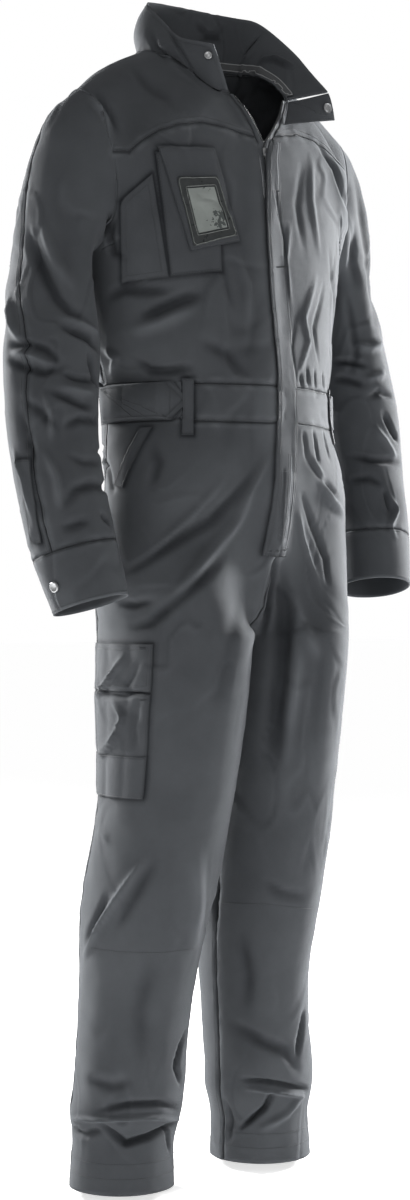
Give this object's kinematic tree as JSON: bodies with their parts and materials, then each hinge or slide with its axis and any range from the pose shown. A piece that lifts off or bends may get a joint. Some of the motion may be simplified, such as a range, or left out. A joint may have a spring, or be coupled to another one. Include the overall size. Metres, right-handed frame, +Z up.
{
  "type": "boiler suit",
  "caption": "Long-sleeved one-piece work suit in dark grey twill with a stand collar, storm flap over the zip, gathered waist, badge pocket and thigh pocket, filled out as worn",
  "frame": {"origin": "the middle of the neckline, between the two shoulders that carry the suit", "axes": "+Z up the suit from hem to collar, -Y the front with the zip, -X the wearer's right"},
  "size_m": [0.6702, 0.2641, 1.574],
  "materials": {
    "twill": "matt twill",
    "trim": "satin binding",
    "metal": "brushed",
    "tape": "woven tape",
    "pane": "clear film over its grey backing"
  },
  "bodies": {
    "root": {"back": "twill", "back_leg_left": "twill", "back_leg_right": "twill", "badge_flap": "twill", "badge_pocket": "twill", "belt_loop_left": "twill", "belt_loop_right": "twill", "chest_pocket": "twill", "collar": "twill", "cuff_left": "twill", "cuff_right": "twill", "flap_top": "twill", "front_left": "twill", "front_leg_left": "twill", "front_leg_right": "twill", "front_right": "twill", "side_pocket_welt": "twill", "sleeve_back_left": "twill", "sleeve_back_right": "twill", "sleeve_front_left": "twill", "sleeve_front_right": "twill", "sleeve_placket_left": "twill", "sleeve_placket_right": "twill", "storm_flap": "twill", "thigh_flap": "twill", "thigh_panel": "twill", "thigh_pocket": "twill", "waist_tab_left": "twill", "waist_tab_right": "twill", "waistband_back": "twill", "waistband_left": "twill", "waistband_right": "twill", "yoke": "twill", "zip_left": "twill", "zip_right": "twill", "badge_frame": "trim", "cuff_snap_left": "metal", "cuff_snap_right": "metal", "snap_socket": "metal", "snap_stud": "metal", "zip_pull": "metal", "zip_slider": "metal", "neck_tape": "tape", "badge_window": "pane"}
  },
  "joints": []
}
